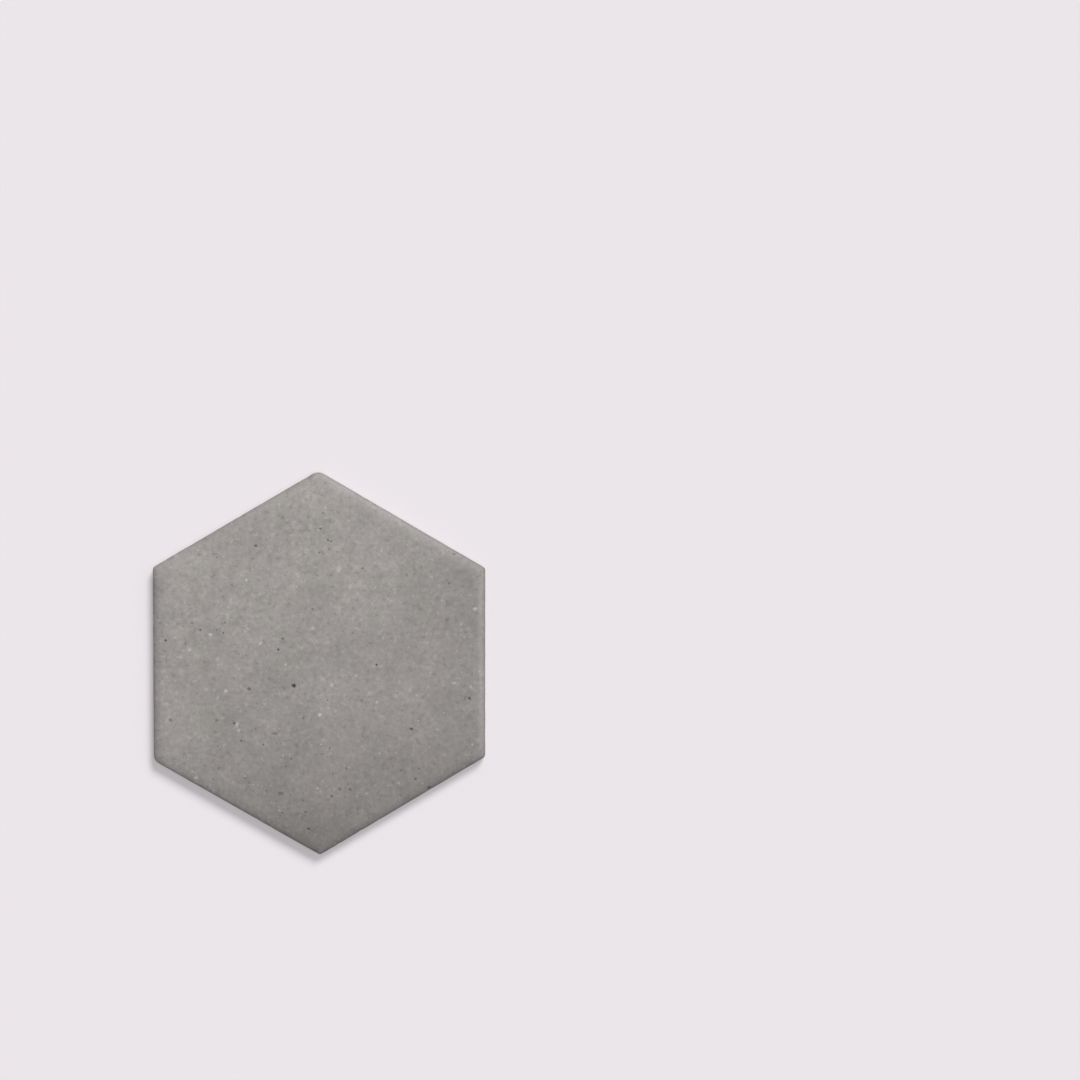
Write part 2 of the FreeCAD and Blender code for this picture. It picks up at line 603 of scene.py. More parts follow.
@dataclass(frozen=True)
class KeyedBack:
    """The back of the tile: a plain border round a field of shallow grooves along Y."""

    outline: Outline
    groove_width: float = 6.0 * MM
    rib_width: float = 4.0 * MM
    groove_depth: float = 0.8 * MM
    groove_draft: float = 0.6 * MM
    border: float = 10.0 * MM
    inset: float = 2.0 * MM
    wall_steps: int = 4
    floor_steps: int = 3
    border_steps: int = 3
    length_steps: int = 14
    end_steps: int = 4
    arc_steps: int = 6

    def groove_centres(self) -> Array:
        """The x of every groove: half a pitch, one and a half and so on, out to the border."""
        pitch = self.groove_width + self.rib_width
        pairs = int((self.outline.apothem - self.border + self.rib_width / 2) // pitch)
        offsets = (np.arange(pairs) + 0.5) * pitch
        return np.concatenate([-offsets[::-1], offsets])

    def columns(self) -> Array:
        """Chooses the lines along Y on which the back's points lie.

        They follow both walls of every groove, its floor, the ribs and the border, and close up
        where the outline turns its side corners.

        Returns:
            The x of every line, in order.
        """
        reach = self.outline.apothem - self.inset
        half = self.groove_width / 2
        wall = np.linspace(half - self.groove_draft, half, self.wall_steps + 1)
        floor = np.linspace(-wall[0], wall[0], self.floor_steps + 1)[1:-1]
        section = np.concatenate([-wall, floor, wall])
        centres = self.groove_centres()
        grooves = (centres[:, None] + section).ravel()
        ribs = (centres[:-1] + centres[1:]) / 2
        arc_start = reach - max(self.outline.corner_radii) * math.cos(2 * HALF_SECTOR)
        border = np.linspace(centres[-1] + half, arc_start, self.border_steps + 1)[1:]
        bends = np.sin(np.linspace(0, math.pi / 2, self.arc_steps + 1)[1:])
        edge = np.concatenate([border, arc_start + (reach - arc_start) * bends])
        return np.sort(np.concatenate([-edge, grooves, ribs, edge]))

    def rows(self, x: Array) -> Array:
        """Chooses the places along Y of the points of every column.

        Each half of a column has even steps along the grooves, close ones on the wall that ends
        them, and a few over the border.

        Args:
            x: The columns.

        Returns:
            The y of every point, one row of the array for each column.
        """
        end = self.field_end(x)
        draft = self.groove_draft / math.cos(HALF_SECTOR)
        inside = np.linspace(0.0, 1.0, self.length_steps + 1)[:-1]
        wall = np.linspace(1.0, 0.0, self.end_steps + 1)
        halves = []
        for upper in (False, True):
            reach = self.outline.half_height(x, self.inset, upper)
            level = (end - draft)[:, None] * inside
            ends = end[:, None] - draft * wall
            border = end[:, None] + (reach - end)[:, None] * even_steps(self.border_steps)
            halves.append(np.concatenate([level, ends, border], axis=1))
        return np.concatenate([-halves[0][:, :0:-1], halves[1]], axis=1)

    def field_end(self, x: Array) -> Array:
        """How far the grooves run in Y at each x: (2 (apothem - border) - |x|) / sqrt 3."""
        return (2 * (self.outline.apothem - self.border) - np.abs(x)) / math.sqrt(3)

    def depth(self, x: Array, y: Array) -> Array:
        """How deep the back is pressed in at each place.

        Across a groove the depth eases from nothing at the mouth's edge to all of it one draft
        further in, and along it the same from the end inwards.

        Args:
            x: Places along X.
            y: Places along Y.

        Returns:
            The depth at each place.
        """
        off = np.abs(x[..., None] - self.groove_centres()).min(axis=-1)
        across = smooth_step((self.groove_width / 2 - off) / self.groove_draft)
        from_end = (self.field_end(x) - np.abs(y)) * math.cos(HALF_SECTOR)
        along = smooth_step(from_end / self.groove_draft)
        return self.groove_depth * across * along

    def add_to(self, skin: Skin, loop: Array) -> None:
        """Adds the back to a skin and joins it to the foot.

        Args:
            skin: The skin, which holds the face and the edge.
            loop: The loop of points at the foot.
        """
        x = self.columns()
        y = self.rows(x)
        across = np.repeat(x[:, None], y.shape[1], axis=1)
        points = np.stack([*self.outline.leaned(across, y), self.depth(across, y)], axis=-1)
        points = points.reshape(-1, 3)
        ones = np.ones(len(points))
        start = skin.add(points, rim=ones, back=ones, rib=ones - points[:, 2] / self.groove_depth)
        number = start + np.arange(len(points)).reshape(y.shape)
        quads = np.stack([number[:-1, :-1], number[:-1, 1:], number[1:, 1:], number[1:, :-1]],
                         axis=-1)
        around = np.concatenate([number[:, 0], number[-1, 1:],
                                 number[-2::-1, -1], number[0, -2:0:-1]])
        skin.faces.append(quads.reshape(-1, 4))
        skin.faces.append(stitch(loop, around, skin.points)[:, ::-1])


def stitch(first: Array, second: Array, points: Array) -> Array:
    """Joins two loops that go round the Z axis the same way, with triangles between them.

    Both loops are read in the order of their angle round the axis. Each edge of one loop takes
    the point of the other that has been reached by then, so no point is skipped.

    Args:
        first: The outer loop, as point numbers.
        second: The inner loop, as point numbers.
        points: All the points.

    Returns:
        Triangles that face up where both loops run anticlockwise seen from above.
    """

    def by_angle(loop: Array) -> tuple[Array, Array]:
        """The loop from its lowest angle on, closed, and the angle at each point."""
        angle = np.arctan2(points[loop, 1], points[loop, 0])
        order = np.argsort(angle)
        closed = np.append(loop[order], loop[order[0]])
        return closed, np.append(angle[order], angle[order[0]] + math.tau)

    outer, outer_angle = by_angle(first)
    inner, inner_angle = by_angle(second)
    reached_inner = np.searchsorted(inner_angle[1:], outer_angle[1:], side="left")
    reached_outer = np.searchsorted(outer_angle[1:], inner_angle[1:], side="right")
    from_outer = np.stack([outer[:-1], outer[1:], inner[reached_inner]], axis=1)
    from_inner = np.stack([inner[1:], inner[:-1], outer[reached_outer]], axis=1)
    return np.concatenate([from_outer, from_inner])


@dataclass(frozen=True)
class Layer:
    """One layer of cloudy noise in a finish: its size in metres, and its strength.

    It has this many finer layers, each half as large as the last, of which each keeps this share
    of the last one's strength.
    """

    size: float
    strength: float
    layers: float = 2.0
    keep: float = 0.6


@dataclass(frozen=True)
class FleckLayer:
    """One layer of flecks in a finish: spacing and radius in metres, and how much they cover.

    The softness is the share of the radius over which a fleck fades out. The higher the rarity,
    the fewer of the flecks stand out. The smallest one has the least share of the radius.
    """

    spacing: float
    radius: float
    cover: float
    softness: float = 0.6
    rarity: float = 3.0
    least: float = 0.5


class NodeBench:
    """Makes and joins the nodes of one material, or of the world."""

    def __init__(self, owner: bpy.types.Material | bpy.types.World) -> None:
        """Empties the node tree.

        Args:
            owner: The material or the world to build.
        """
        owner.use_nodes = True
        self.tree = owner.node_tree
        self.tree.nodes.clear()

    def add(self, kind: str, inputs: dict[str | int, object] | None = None,
            **settings: object) -> bpy.types.Node:
        """Adds a node.

        Args:
            kind: The node's type, such as ShaderNodeMath.
            inputs: What goes in, by the input's name or number: an output socket, a number or a
                tuple. A colour has three parts here and is opaque.
            settings: The node's properties by name.

        Returns:
            The new node.
        """
        node = self.tree.nodes.new(kind)
        for name, value in settings.items():
            setattr(node, name, value)
        for key, value in (inputs or {}).items():
            socket = node.inputs[key]
            if isinstance(value, Socket):
                self.tree.links.new(value, socket)
            else:
                socket.default_value = (*value, 1.0) if socket.type == "RGBA" else value
        return node

    def sum(self, operation: str, *values: object, clamp: bool = False) -> Socket:
        """A Math node.

        Args:
            operation: Its operation, such as MULTIPLY.
            values: Its inputs in order.
            clamp: Whether the result is kept within 0 and 1.

        Returns:
            The result.
        """
        inputs = dict(enumerate(values))
        return self.add("ShaderNodeMath", inputs, operation=operation, use_clamp=clamp).outputs[0]

    def vector(self, operation: str, *values: object) -> Socket:
        """A Vector Math node, with its operation and its inputs in order."""
        inputs = dict(enumerate(values))
        return self.add("ShaderNodeVectorMath", inputs, operation=operation).outputs[0]

    def centred(self, value: Socket) -> Socket:
        """Moves a value that runs from 0 to 1 so that it runs from -1 to 1."""
        return self.sum("MULTIPLY_ADD", value, 2.0, -1.0)

    def ramp(self, value: Socket, start: float, end: float) -> Socket:
        """Eases from 0 to 1 as a value goes from start to end, and stays there past them.

        Args:
            value: The value.
            start: Where the result is 0.
            end: Where the result is 1.

        Returns:
            The eased value.
        """
        inputs = {"Value": value, "From Min": start, "From Max": end}
        node = self.add("ShaderNodeMapRange", inputs, interpolation_type="SMOOTHSTEP")
        return node.outputs["Result"]

    def noise(self, place: Socket, size: float, layers: float, keep: float) -> bpy.types.Node:
        """Cloudy noise from 0 to 1, as a number in its first output and as a colour.

        Args:
            place: The coordinates to read.
            size: The size of the largest clouds, in metres.
            layers: How many finer layers it has, each half as large.
            keep: The strength of each layer as a share of the last.

        Returns:
            The node.
        """
        inputs = {"Vector": place, "Scale": 1.0 / size, "Detail": layers, "Roughness": keep}
        return self.add("ShaderNodeTexNoise", inputs, noise_dimensions="3D", normalize=True)

    def cloudy(self, place: Socket, layer: Layer) -> Socket:
        """The noise of one layer, about 0, within about -1 and 1."""
        noise = self.noise(place, layer.size, layer.layers, layer.keep)
        return self.centred(noise.outputs[0])

    def shaken(self, place: Socket, size: float, reach: float) -> Socket:
        """Coordinates moved about at random, which makes the shapes read from them uneven.

        The noise hardly leaves the swing either side of its middle, so it is moved to lie about
        0, and its swing is drawn out to the reach.

        Args:
            place: The coordinates.
            size: The size of the waves that move them, in metres.
            reach: How far they move, in metres.

        Returns:
            The moved coordinates.
        """
        noise = self.noise(place, size, layers=1.0, keep=0.5)
        about_zero = self.vector("SUBTRACT", noise.outputs["Color"], (0.5, 0.5, 0.5))
        return self.vector("MULTIPLY_ADD", about_zero, (reach / NOISE_SWING,) * 3, place)

    def cells(self, place: Socket, spacing: float) -> tuple[Socket, ...]:
        """Grains packed side by side.

        Args:
            place: The coordinates to read.
            spacing: The size of a grain, in metres.

        Returns:
            The distance from the grain's middle as a share of the spacing, and two random
            numbers from 0 to 1 that are the same all over a grain.
        """
        inputs = {"Vector": place, "Scale": 1.0 / spacing}
        node = self.add("ShaderNodeTexVoronoi", inputs, voronoi_dimensions="3D", feature="F1")
        parts = self.add("ShaderNodeSeparateColor", {0: node.outputs["Color"]})
        return node.outputs["Distance"], parts.outputs[0], parts.outputs[1]

    def flecks(self, place: Socket, layer: FleckLayer) -> Socket:
        """Flecks at random places, of random sizes and strengths.

        Each grain of cells() holds one, whose strength is a random number from 0 to 1 raised to
        the layer's rarity.

        Args:
            place: The coordinates to read.
            layer: The layer of flecks.

        Returns:
            How much they cover: up to the layer's cover inside a fleck, easing to 0 at its edge.
        """
        distance, strength, size = self.cells(place, layer.spacing)
        share = self.sum("MULTIPLY_ADD", size, 1.0 - layer.least, layer.least)
        core = layer.radius * (1 - layer.softness)
        shape = self.ramp(self.sum("DIVIDE", distance, share),
                          layer.radius / layer.spacing, core / layer.spacing)
        shape = self.sum("MULTIPLY", shape, self.sum("POWER", strength, layer.rarity))
        return self.sum("MULTIPLY", shape, layer.cover)

    def sharpened(self, value: Socket) -> Socket:
        """A value times its own size, which flattens what is near 0 and keeps the peaks."""
        return self.sum("MULTIPLY", value, self.sum("ABSOLUTE", value))

    def mark(self, name: str) -> Socket:
        """The value of a mark that the mesh carries."""
        node = self.add("ShaderNodeAttribute", attribute_type="GEOMETRY", attribute_name=name)
        return node.outputs["Fac"]

    def over(self, under: object, colour: object, cover: object) -> Socket:
        """Lays a colour over another.

        Args:
            under: What lies below.
            colour: The colour laid on.
            cover: How much of it shows, from 0 to 1.

        Returns:
            The mixed colour.
        """
        # The Mix node has its two colours in inputs 6 and 7 and the mixed one in output 2
        node = self.add("ShaderNodeMix", {0: cover, 6: under, 7: colour}, data_type="RGBA")
        return node.outputs[2]

    def tinted(self, colour: Socket, tone: Socket) -> Socket:
        """A colour multiplied by a brightness."""
        inputs = {0: colour, "Scale": tone}
        return self.add("ShaderNodeVectorMath", inputs, operation="SCALE").outputs[0]


@dataclass(frozen=True)
class FiredClay:
    """Grey stoneware, unglazed: a matt ground with faint clouds, fine grain, flecks and pits.

    The strengths of the layers are shares of the ground's own brightness, and a rise is how far
    a pattern stands out, in metres. A core is the nearness at which a pit or a grain begins to
    show and at which it shows in full; a halo is the same for the faint ring round it. The rim
    is the share of the roll passed, and the painted light and shade of each side's roll, the
    painted shade of the roll's outer part and the drag lines start along it.
    """

    name: str = "fired_clay"
    ground: Triple = (0.2842, 0.2642, 0.2515)
    ground_cool: Triple = (0.2792, 0.2647, 0.2490)
    pale: Triple = (0.62, 0.60, 0.57)
    pit: Triple = (0.030, 0.028, 0.026)
    dusty: Triple = (0.43, 0.415, 0.395)
    drift: Pair = (-0.073, 0.19)
    drift_bow: Pair = (0.05, 0.09)
    drift_reach: float = 100 * MM
    warmth: Layer = Layer(22 * MM, 0.35, 3.0, 0.6)
    clouds: Layer = Layer(40 * MM, 0.24, 2.0, 0.6)
    mottle: Layer = Layer(8 * MM, 0.27, 2.0, 0.9)
    mottle_rise: float = 0.02 * MM
    mottle_gloss: float = 0.12
    grit: Layer = Layer(2.8 * MM, 0.86, 1.0, 0.75)
    pepper: Layer = Layer(0.7 * MM, 0.115, 1.0, 0.7)
    sand: Layer = Layer(1.4 * MM, 0.04 * MM, 3.0, 0.7)
    sand_grain: float = 0.5 * MM
    sand_grain_strength: float = 0.03
    fleck_shake: float = 0.9 * MM
    fleck_shake_reach: float = 0.16 * MM
    flecks_pale: tuple[FleckLayer, ...] = (
        FleckLayer(2.6 * MM, 0.80 * MM, 0.32),
        FleckLayer(5.5 * MM, 1.25 * MM, 0.42, rarity=4.0),
        FleckLayer(13 * MM, 2.4 * MM, 0.16, 1.0, 2.0),
    )
    flecks_dark: tuple[FleckLayer, ...] = (
        FleckLayer(2.8 * MM, 0.88 * MM, 0.34),
        FleckLayer(12 * MM, 2.4 * MM, 0.14, 1.0, 2.0),
    )
    soot: FleckLayer = FleckLayer(5.5 * MM, 0.95 * MM, 0.75, 0.7, 4.0)
    soot_rise: float = -0.15 * MM
    pit_rise: float = -0.10 * MM
    pit_core: Pair = (0.40, 0.66)
    grain_core: Pair = (0.28, 0.74)
    spot_halo: Pair = (0.10, 0.60)
    spot_halo_share: float = 0.22
    spot_shake: float = 0.22
    # Painted shade: the roll is painted darker by this share from rim_start out to the upright
    # sides
    rim_shade: float = 0.18
    rim_start: float = 0.62
    # Where along the roll the painted side shading comes in
    painted_shading_span: Pair = (0.30, 0.62)
    drag: Layer = Layer(0.45 * MM, 0.22, 2.0, 0.7)
    drag_length: float = 30.0
    steep: float = 0.9
    drag_rise: float = 0.05 * MM
    dust: Layer = Layer(11 * MM, 1.2, 3.0, 0.7)
    dust_groove: float = 0.15
    dust_rib: float = 0.30
    roughness: float = 0.55
    shine: float = 0.5

    def build(self) -> bpy.types.Material:
        """Makes the material.

        The ground's colour is multiplied by the drift over the tile, by the tone of the edge, by
        1 + the tone of the fired patches, and by 1 + strength * noise for each layer. The pale
        wash of the back, the flecks, the soot, the grains and the pits are then laid over it in
        that order.

        Returns:
            The material.
        """
        material = bpy.data.materials.new(self.name)
        bench = NodeBench(material)
        place = bench.add("ShaderNodeTexCoord").outputs["Object"]
        mottle = bench.cloudy(place, self.mottle)
        pepper = bench.cloudy(place, self.pepper)
        grit = bench.sharpened(bench.cloudy(place, self.grit))
        drag = self.drag_lines(bench, place)

        warm = bench.cloudy(place, self.warmth)
        warm = bench.ramp(warm, -self.warmth.strength, self.warmth.strength)
        ground = bench.over(self.ground_cool, self.ground, warm)
        tone = bench.sum("MULTIPLY", self.drift_tone(bench, place), self.rim_tone(bench, drag))
        tone = bench.sum("MULTIPLY", tone, bench.sum("ADD", bench.mark("fired"), 1.0))
        for noise, strength in ((bench.cloudy(place, self.clouds), self.clouds.strength),
                                (mottle, self.mottle.strength), (pepper, self.pepper.strength),
                                (grit, self.grit.strength),
                                (self.grains(bench, place), self.sand_grain_strength)):
            tone = bench.sum("MULTIPLY", tone, bench.sum("MULTIPLY_ADD", noise, strength, 1.0))
        colour = self.dusted(bench, place, bench.tinted(ground, tone))

        uneven = bench.shaken(place, self.fleck_shake, self.fleck_shake_reach)
        soot = bench.flecks(uneven, self.soot)
        pit = self.spot_cover(bench, SpotKind.PIT, self.pit_core, pepper)
        grain = self.spot_cover(bench, SpotKind.GRAIN, self.grain_core, pepper)
        flecks = [(shade, bench.flecks(uneven, layer))
                  for shade, layers in ((self.pale, self.flecks_pale), (self.pit, self.flecks_dark))
                  for layer in layers]
        for shade, cover in (*flecks, (self.pit, soot), (self.pale, grain), (self.pit, pit)):
            colour = bench.over(colour, shade, cover)

        height = bench.sum("MULTIPLY", bench.cloudy(place, self.sand), self.sand.strength)
        for relief, rise in ((mottle, self.mottle_rise), (drag, self.drag_rise),
                             (soot, self.soot_rise), (pit, self.pit_rise)):
            height = bench.sum("MULTIPLY_ADD", relief, rise, height)
        bump = bench.add("ShaderNodeBump", {"Strength": 1.0, "Distance": 1.0, "Height": height})
        rough = bench.sum("MULTIPLY_ADD", mottle, self.mottle_gloss, self.roughness)
        shader = bench.add("ShaderNodeBsdfPrincipled", {
            "Base Color": colour, "Roughness": rough, "Specular IOR Level": self.shine,
            "Normal": bump.outputs["Normal"]})
        bench.add("ShaderNodeOutputMaterial", {"Surface": shader.outputs["BSDF"]})
        return material

    def drift_tone(self, bench: NodeBench, place: Socket) -> Socket:
        """The slow change of brightness over the tile.

        It is 1 + p (drift - bow p) for x and for y, where p is the place in drift reaches.

        Args:
            bench: The material's bench.
            place: The coordinates.

        Returns:
            The tone.
        """
        axes = bench.add("ShaderNodeSeparateXYZ", {0: place})
        tone = 1.0
        for axis, drift, bow in zip("XY", self.drift, self.drift_bow):
            part = bench.sum("DIVIDE", axes.outputs[axis], self.drift_reach)
            slope = bench.sum("MULTIPLY_ADD", part, -bow, drift)
            tone = bench.sum("MULTIPLY_ADD", part, slope, tone)
        return tone

    def grains(self, bench: NodeBench, place: Socket) -> Socket:
        """Grains of sand side by side, each with a random value from -1 to 1."""
        return bench.centred(bench.cells(place, self.sand_grain)[1])

    def drag_lines(self, bench: NodeBench, place: Socket) -> Socket:
        """Level lines that the die drew along the sides, about 0; elsewhere there are none.

        Args:
            bench: The material's bench.
            place: The coordinates.

        Returns:
            The noise of the lines.
        """
        drawn = bench.vector("MULTIPLY", place, (1 / self.drag_length, 1 / self.drag_length, 1.0))
        steep = bench.ramp(bench.mark("rim"), self.steep, 1.0)
        side = bench.sum("MULTIPLY", steep, bench.sum("SUBTRACT", 1.0, bench.mark("back")))
        return bench.sum("MULTIPLY", bench.cloudy(drawn, self.drag), side)

    def rim_tone(self, bench: NodeBench, drag: Socket) -> Socket:
        """The tone of the edge, with painted light and shade on each side's roll, painted shade
        deepening towards the upright sides, and the drag lines.

        Args:
            bench: The material's bench.
            drag: The noise of the drag lines.

        Returns:
            The tone, 1 on the face.
        """
        rim = bench.mark("rim")
        steep = bench.ramp(rim, self.steep, 1.0)
        rolled = bench.sum("SUBTRACT", bench.ramp(rim, *self.painted_shading_span), steep)
        # Painted light and shade: each side's roll is painted paler or darker by its painted side
        # shading
        painted_roll_shading = bench.sum("MULTIPLY_ADD", rolled, bench.mark("wear"), 1.0)
        # Painted shade that deepens from rim_start out to the upright sides
        shade = bench.sum("MULTIPLY", bench.ramp(rim, self.rim_start, 1.0), self.rim_shade)
        return bench.sum("MULTIPLY_ADD", drag, self.drag.strength,
                         bench.sum("SUBTRACT", painted_roll_shading, shade))

    def dusted(self, bench: NodeBench, place: Socket, colour: Socket) -> Socket:
        """Lays the kiln's pale wash over the back, thick on the ribs and thin in the grooves.

        Args:
            bench: The material's bench.
            place: The coordinates.
            colour: The clay's colour.

        Returns:
            The colour with the wash over it.
        """
        thick = bench.sum("MULTIPLY_ADD", bench.mark("rib"), self.dust_rib, self.dust_groove)
        patches = bench.cloudy(place, self.dust)
        patchy = bench.sum("MULTIPLY_ADD", patches, self.dust.strength, thick)
        wash = bench.sum("MULTIPLY", bench.mark("back"), patchy, clamp=True)
        return bench.over(colour, self.dusty, wash)

    def spot_cover(self, bench: NodeBench, kind: SpotKind, core: Pair, pepper: Socket) -> Socket:
        """How much the chosen pits or grains cover, with uneven edges.

        Args:
            bench: The material's bench.
            kind: Pits or grains.
            core: The nearness at which a spot begins to show, and at which it shows in full.
            pepper: The noise that makes the edges uneven.

        Returns:
            The cover, with a faint halo round it.
        """
        near = bench.sum("MULTIPLY_ADD", pepper, self.spot_shake, bench.mark(kind.value))
        halo = bench.sum("MULTIPLY", bench.ramp(near, *self.spot_halo), self.spot_halo_share)
        cover = bench.sum("MAXIMUM", bench.ramp(near, *core), halo)
        return bench.sum("MULTIPLY", cover, bench.mark(kind.value + "_strength"))


@dataclass(frozen=True)
class SoftLamp:
    """A large soft lamp so far away that it lights the tile and the whole floor alike.

    Its angles are in degrees. Its share is its part of the plain light, at which a colour
    renders about as it is written.
    """

    name: str
    azimuth: float
    elevation: float
    share: float
    width: float

    def place(self) -> None:
        """Makes the lamp, with strength share * pi / sin(elevation); its width is an angle."""
        lamp = bpy.data.lights.new(self.name, "SUN")
        lamp.angle = math.radians(self.width)
        rise = math.radians(self.elevation)
        turn = math.radians(self.azimuth)
        lamp.energy = self.share * PLAIN_LIGHT / math.sin(rise)
        level = math.cos(rise)
        way = Vector((math.cos(turn) * level, math.sin(turn) * level, math.sin(rise)))
        holder = bpy.data.objects.new(self.name, lamp)
        holder.location = way
        holder.rotation_mode = "QUATERNION"
        holder.rotation_quaternion = way.to_track_quat("Z", "Y")
        bpy.context.scene.collection.objects.link(holder)


@dataclass(frozen=True)
class PhotoView:
    """The photograph's view: straight down, with the tile at the lower left of the frame."""

    frame_pixels: float = 1080.0
    tile_centre_pixels: Pair = (318.5, 663.3)
    across_flats_pixels: float = 333.2
    lens: float = 85.0
    sensor: float = 36.0
    clip: Pair = (0.01, 40.0)

    def place(self, across_flats: float, face_height: float) -> None:
        """Makes the camera, so that the tile has the photograph's place and size.

        Args:
            across_flats: The tile's width between its flat sides.
            face_height: The height of the face, where that width is read.
        """
        pixel = across_flats / self.across_flats_pixels
        camera = bpy.data.cameras.new("photo_view")
        camera.lens = self.lens
        camera.sensor_width = self.sensor
        holder = bpy.data.objects.new("photo_view", camera)
        distance = self.frame_pixels * pixel * self.lens / self.sensor
        middle = self.frame_pixels / 2
        holder.location = ((middle - self.tile_centre_pixels[0]) * pixel,
                           (self.tile_centre_pixels[1] - middle) * pixel, face_height + distance)
        camera.clip_start, camera.clip_end = self.clip
        bpy.context.scene.collection.objects.link(holder)
        bpy.context.scene.camera = holder


@dataclass(frozen=True)
class Studio:
    """The pale floor, the lamps and the faint light from all round."""

    floor_colour: Triple = (0.844, 0.802, 0.836)
    floor_half_width: float = 30.0
    floor_glow: float = 0.31
    sky_share: float = 0.23
    lamps: tuple[SoftLamp, ...] = (
        SoftLamp("lamp_key", 62.3, 42.5, 0.585, 24.0),
        SoftLamp("lamp_over", -20.0, 76.0, 0.125, 24.0),
        SoftLamp("lamp_low", 5.0, 42.0, 0.04, 30.0),
    )

    def build(self) -> None:
        """Makes the floor, the sky and the lamps."""
        self.lay_floor()
        self.light_sky()
        for lamp in self.lamps:
            lamp.place()

    def seen(self, bench: NodeBench) -> Socket:
        """1 where the camera looks, straight or by a gloss or through glass, and 0 elsewhere."""
        path = bench.add("ShaderNodeLightPath")
        mirrored = bench.sum("MAXIMUM", path.outputs["Is Glossy Ray"],
                             path.outputs["Is Transmission Ray"])
        return bench.sum("MAXIMUM", path.outputs["Is Camera Ray"], mirrored)

    def lay_floor(self) -> None:
        """A level sheet under the tile; part of its paleness is its own, so shadows stay light."""
        reach = self.floor_half_width
        mesh = bpy.data.meshes.new("studio_floor")
        corners = [(x, y, 0.0) for x, y in ((-reach, -reach), (reach, -reach),
                                            (reach, reach), (-reach, reach))]
        mesh.from_pydata(corners, [], [(0, 1, 2, 3)])
        material = bpy.data.materials.new("studio_floor")
        bench = NodeBench(material)
        sheet = bench.add("ShaderNodeBsdfDiffuse", {"Color": self.floor_colour}).outputs[0]
        glow = bench.add("ShaderNodeEmission", {"Color": self.floor_colour, "Strength": 1.0})
        share = bench.sum("MULTIPLY", self.seen(bench), self.floor_glow)
        both = bench.add("ShaderNodeMixShader", {0: share, 1: sheet, 2: glow.outputs[0]})
        bench.add("ShaderNodeOutputMaterial", {"Surface": both.outputs[0]})
        mesh.materials.append(material)
        floor = bpy.data.objects.new("studio_floor", mesh)
        bpy.context.scene.collection.objects.link(floor)

    def light_sky(self) -> None:
        """A weak white light from all round, which is seen as the floor's colour."""
        world = bpy.data.worlds.new("studio_sky")
        bpy.context.scene.world = world
        bench = NodeBench(world)
        white = (1.0, 1.0, 1.0)
        given, shown = (
            bench.add("ShaderNodeBackground", {"Color": colour, "Strength": strength}).outputs[0]
            for colour, strength in ((white, self.sky_share), (self.floor_colour, 1.0)))
        both = bench.add("ShaderNodeMixShader", {0: self.seen(bench), 1: given, 2: shown})
        bench.add("ShaderNodeOutputWorld", {"Surface": both.outputs[0]})


# The pits that stand out in the face: place in millimetres from its middle, radius, strength,
# and for the drawn-out ones the stretch and turn
FACE_PITS = (
    (-14.9, -13.6, 1.00, 1.0, 1.25, 0), (-37.8, 70.4, 0.82, 0.64), (-61.1, 63.5, 0.50, 0.52),
    (-6.5, 87.5, 0.70, 0.25), (-3.8, 32.4, 0.55, 0.55), (5.5, 73.8, 0.65, 0.66),
    (7.3, 73.1, 0.60, 0.58), (1.0, 80.8, 0.56, 0.72), (0.4, 66.3, 0.60, 0.45),
    (78.0, 47.8, 0.70, 0.42), (81.4, 65.4, 0.70, 0.55), (-91.9, 13.6, 0.66, 0.92),
    (-71.1, 19.9, 0.55, 0.85), (-56.2, 24.2, 0.50, 0.58), (-57.2, 18.1, 0.52, 0.60),
    (-21.6, 14.7, 0.60, 0.58, 1.5, 0), (-24.2, 8.1, 0.60, 0.86), (-42.0, -15.6, 1.00, 0.54),
    (-61.5, -34.4, 0.70, 0.50), (-50.8, -36.1, 0.72, 0.70), (-89.1, -34.4, 0.92, 0.44),
    (-9.3, -33.2, 0.55, 0.53), (-46.5, -46.7, 0.65, 0.62), (-26.5, -42.4, 0.80, 0.40, 2.1, 0),
    (-33.3, -49.0, 0.50, 0.68), (-16.5, -57.4, 0.60, 0.42), (-23.0, -78.3, 0.82, 0.47, 1.9, 0),
    (-31.4, -77.2, 0.70, 0.38), (-21.8, -89.9, 0.60, 0.56), (-8.0, -89.4, 0.55, 0.52, 1.6, 0),
    (-6.1, -99.4, 0.65, 0.82, 1.3, 0), (-41.7, -72.0, 0.60, 0.36), (34.8, -1.0, 0.54, 0.92),
    (90.4, -21.2, 0.80, 0.76), (55.6, -39.6, 0.78, 0.72, 1.3, 0), (25.8, -22.8, 1.15, 0.24),
    (7.8, -79.9, 0.70, 0.60), (12.6, -76.0, 0.70, 0.38), (18.8, -75.9, 0.75, 0.56),
    (58.1, -69.6, 0.68, 0.56), (60.2, -63.5, 0.52, 0.58), (49.2, -64.4, 0.68, 0.48),
    (16.6, -63.4, 0.68, 0.38), (66.5, -74.9, 0.90, 0.72, 1.2, 40), (49.2, -79.4, 0.65, 0.46),
    (26.4, 56.9, 0.60, 0.50), (-44.4, -69.1, 0.58, 0.42), (6.6, -51.1, 0.58, 0.42),
    (-19.8, -61.9, 0.58, 0.40), (-37.8, -39.7, 0.58, 0.40), (17.4, -72.7, 0.56, 0.40),
    (6.0, 68.3, 0.55, 0.40), (-60.6, -49.9, 0.56, 0.38), (-61.2, 19.7, 0.54, 0.40),
    (-68.4, 0.5, 0.56, 0.38), (7.2, 52.7, 0.54, 0.38), (1.8, 100.7, 0.54, 0.36),
    (76.8, 37.1, 0.56, 0.36), (-76.2, 23.9, 0.50, 0.38), (8.4, -66.7, 0.54, 0.36),
    (42.0, -52.9, 0.54, 0.34), (2.4, 89.9, 0.54, 0.32),
)

